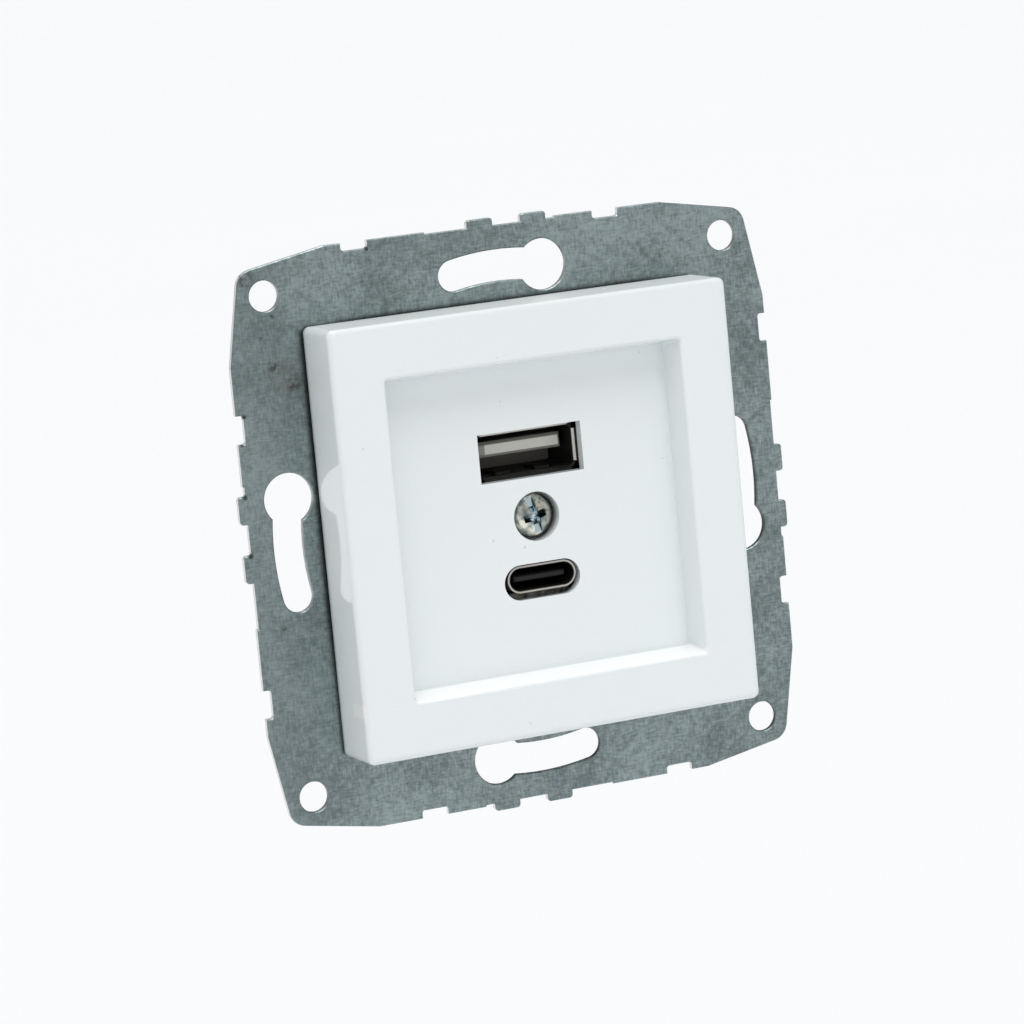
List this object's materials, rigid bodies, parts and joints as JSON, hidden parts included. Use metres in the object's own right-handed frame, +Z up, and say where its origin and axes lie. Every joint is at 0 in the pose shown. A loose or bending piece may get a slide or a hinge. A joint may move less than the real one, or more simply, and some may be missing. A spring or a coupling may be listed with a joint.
{
  "type": "usb wall socket",
  "caption": "Flush-mounted charging socket: square white cover with a sunk field, a USB-A and a USB-C port, on a stamped steel support plate with the charger module behind it.",
  "frame": {"origin": "centre of the support plate's back face, which lies on the wall", "axes": "+X to the right seen from the room, +Z up, +Y into the wall; the cover faces -Y"},
  "size_m": [0.0716, 0.0357, 0.0716],
  "materials": {
    "galvanised_steel": "galvanised sheet, satin with fine mottling",
    "white_plastic": "moulded, glossy",
    "zinc_plate": "zinc plated, blue-yellow passivation",
    "brass": "turned",
    "nickel_plate": "nickel-plated steel sheet",
    "grey_insulator": "moulded",
    "dark_insulator": "moulded",
    "contact_metal": "gold-flashed copper alloy",
    "black_plastic": "moulded, fine texture",
    "circuit_board": "glass-fibre laminate with green solder mask",
    "tinned_pin": "tinned",
    "ferrite": "sintered, dull",
    "bobbin_plastic": "moulded",
    "winding_tape": "polyester tape",
    "capacitor_sleeve": "shrunk sleeve",
    "chip_package": "moulded",
    "fuse_body": "lacquered",
    "copper_winding": "enamelled copper wire",
    "ceramic_disc": "epoxy-dipped",
    "chip_ceramic": "ceramic with tinned ends",
    "terminal_plastic": "moulded",
    "tinned_copper": "tinned copper strip"
  },
  "bodies": {
    "socket": {"mounting_plate": "galvanised_steel", "cover": "white_plastic", "cover_screw": "zinc_plate", "threaded_insert": "brass", "usb_a_shell": "nickel_plate", "usb_a_tongue": "grey_insulator", "usb_a_contacts": "contact_metal", "usb_c_shell": "nickel_plate", "usb_c_tongue": "dark_insulator", "usb_c_contacts": "contact_metal", "module_housing": "black_plastic", "rear_cap": "black_plastic", "cap_screws": "zinc_plate", "port_board": "circuit_board", "port_board_screws": "zinc_plate", "link_pins": "tinned_pin", "link_strip": "chip_package", "main_board": "circuit_board", "transformer_core": "ferrite", "transformer_bobbin": "bobbin_plastic", "transformer_winding": "winding_tape", "bulk_capacitors": "capacitor_sleeve", "output_capacitor": "capacitor_sleeve", "bridge_rectifier": "chip_package", "controller_chip": "chip_package", "output_rectifier": "chip_package", "fuse_resistor": "fuse_body", "filter_inductor": "copper_winding", "safety_capacitor": "ceramic_disc", "port_controller": "chip_package", "chip_parts": "chip_ceramic", "terminal_block": "terminal_plastic", "left_busbar": "tinned_copper", "right_busbar": "tinned_copper"},
    "left_terminal_screw": {"left_terminal_screw": "zinc_plate"},
    "left_cage": {"left_cage": "nickel_plate"},
    "right_terminal_screw": {"right_terminal_screw": "zinc_plate"},
    "right_cage": {"right_cage": "nickel_plate"}
  },
  "joints": [
    {"name": "left_screw_turn", "type": "hinge", "parent": "socket", "child": "left_terminal_screw", "pos_m": [-0.0038, 0.0228, -0.01435], "axis": [0, -1, 0], "range_deg": [0, 1800]},
    {"name": "left_cage_rise", "type": "slide", "parent": "socket", "child": "left_cage", "axis": [0, 1, 0], "range_m": [0, 0.0025]},
    {"name": "right_screw_turn", "type": "hinge", "parent": "socket", "child": "right_terminal_screw", "pos_m": [0.0038, 0.0228, -0.01435], "axis": [0, -1, 0], "range_deg": [0, 1800]},
    {"name": "right_cage_rise", "type": "slide", "parent": "socket", "child": "right_cage", "axis": [0, 1, 0], "range_m": [0, 0.0025]}
  ],
  "couplings": [
    {"joint": "left_screw_turn", "follows": "left_cage_rise", "rad_per_m": 12566},
    {"joint": "right_screw_turn", "follows": "right_cage_rise", "rad_per_m": 12566}
  ]
}
